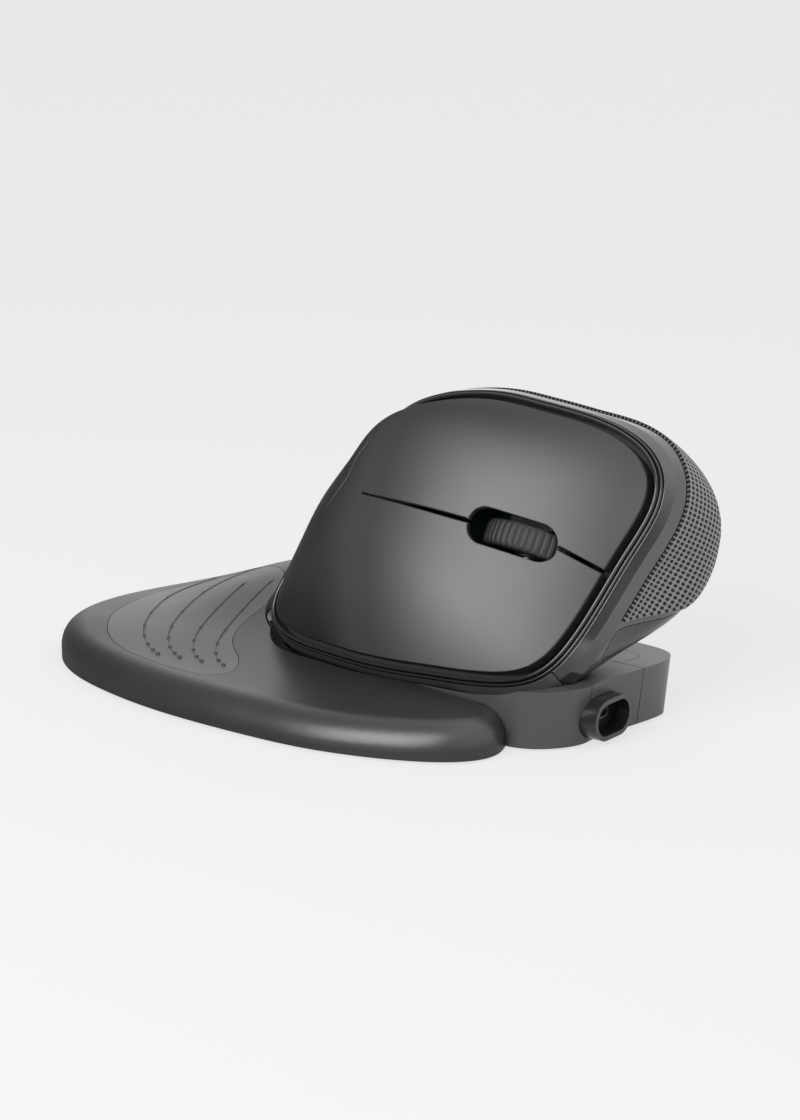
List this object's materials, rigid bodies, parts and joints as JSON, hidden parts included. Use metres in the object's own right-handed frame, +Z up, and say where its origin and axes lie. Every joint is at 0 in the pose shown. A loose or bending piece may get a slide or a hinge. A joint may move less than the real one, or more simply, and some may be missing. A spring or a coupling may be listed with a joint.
{
  "type": "ergonomic mouse",
  "caption": "Upright ergonomic wireless mouse with a tilted finger shell, gloss band, perforated thumb grip, scroll wheel and a magnetic palm rest beside its base.",
  "frame": {"origin": "centre of the footprint, on the desk under the feet", "axes": "+X to the front of the mouse, +Y to the user's left on the thumb side, +Z up"},
  "size_m": [0.1632, 0.0936, 0.073],
  "materials": {
    "satin_shell": "satin moulded, fine texture",
    "gloss_black": "polished piano black",
    "dark_trim": "polished, with bright edges",
    "grip_rubber": "soft touch rubber with small holes",
    "body_plastic": "fine matt",
    "tyre_rubber": "ribbed rubber",
    "steel": "plain steel",
    "board_green": "solder masked board",
    "clear_lens": "clear moulded lens",
    "glide_pad": "slippery glide pad",
    "dark_part": "plain moulded",
    "magnet": "plated magnet",
    "pad_rubber": "soft touch, fine grain",
    "cell_wrap": "wrapped foil cell"
  },
  "bodies": {
    "root": {"palm_shell": "satin_shell", "rear_inlay": "satin_shell", "head_frame": "dark_part", "inner_trim_ring": "dark_trim", "outer_trim_ring": "dark_trim", "lower_band": "gloss_black", "front_band": "gloss_black", "grip_skin": "grip_rubber", "front_window": "gloss_black", "thumb_pad": "grip_rubber", "thumb_shell": "body_plastic", "wheel_click_switch": "dark_part", "chassis_plate": "dark_part", "head_board": "board_green", "board_posts": "dark_part", "left_switch": "dark_part", "right_switch": "dark_part", "battery_cell": "cell_wrap", "side_board": "board_green", "side_switches": "dark_part", "port_panel": "body_plastic", "thumb_shelf": "grip_rubber", "base_body": "body_plastic", "base_magnets": "magnet", "base_plate": "body_plastic", "base_screws": "steel", "glide_feet": "glide_pad", "base_board": "board_green", "sensor_lens": "clear_lens", "sensor_chip": "dark_part", "port_collar": "gloss_black", "plug_shell": "steel", "plug_tongue": "dark_part"},
    "left_button": {"left_button": "satin_shell", "left_plunger": "dark_part"},
    "right_button": {"right_button": "satin_shell", "right_plunger": "dark_part"},
    "wheel_carriage": {"wheel_yoke": "dark_part", "wheel_encoder": "dark_part"},
    "wheel": {"wheel_tyre": "tyre_rubber", "wheel_hub": "dark_part", "wheel_axle": "steel"},
    "forward_button": {"forward_button": "gloss_black"},
    "back_button": {"back_button": "gloss_black"},
    "power_knob": {"power_knob": "dark_part"},
    "rest": {"palm_rest": "body_plastic", "rest_pad": "pad_rubber", "rest_magnets": "magnet", "rest_plate": "body_plastic", "rest_feet": "grip_rubber"}
  },
  "joints": [
    {"name": "left_press", "type": "hinge", "parent": "root", "child": "left_button", "pos_m": [0.00992, -0.0063, 0.04708], "axis": [0, 0.4695, 0.8829], "range_deg": [0, 0.8], "stiffness_Nm_per_rad": 2},
    {"name": "right_press", "type": "hinge", "parent": "root", "child": "right_button", "pos_m": [0.00992, -0.0063, 0.04708], "axis": [0, 0.4695, 0.8829], "range_deg": [0, 0.8], "stiffness_Nm_per_rad": 2},
    {"name": "wheel_press", "type": "slide", "parent": "root", "child": "wheel_carriage", "axis": [0, 0.8829, -0.4695], "range_m": [0, 0.0006], "stiffness_N_per_m": 1500},
    {"name": "wheel_spin", "type": "hinge", "parent": "wheel_carriage", "child": "wheel", "pos_m": [0.04872, 0.00284, 0.04233], "axis": [0.0523, 0.4688, 0.8817], "continuous": true},
    {"name": "forward_press", "type": "slide", "parent": "root", "child": "forward_button", "axis": [0, -1, 0], "range_m": [0, 0.0006], "stiffness_N_per_m": 1500},
    {"name": "back_press", "type": "slide", "parent": "root", "child": "back_button", "axis": [0, -1, 0], "range_m": [0, 0.0006], "stiffness_N_per_m": 1500},
    {"name": "power_slide", "type": "slide", "parent": "root", "child": "power_knob", "axis": [1, 0, 0], "range_m": [0, 0.0022]},
    {"name": "rest_slide", "type": "slide", "parent": "root", "child": "rest", "axis": [-0.7071, -0.7071, 0], "range_m": [0, 0.05]}
  ]
}
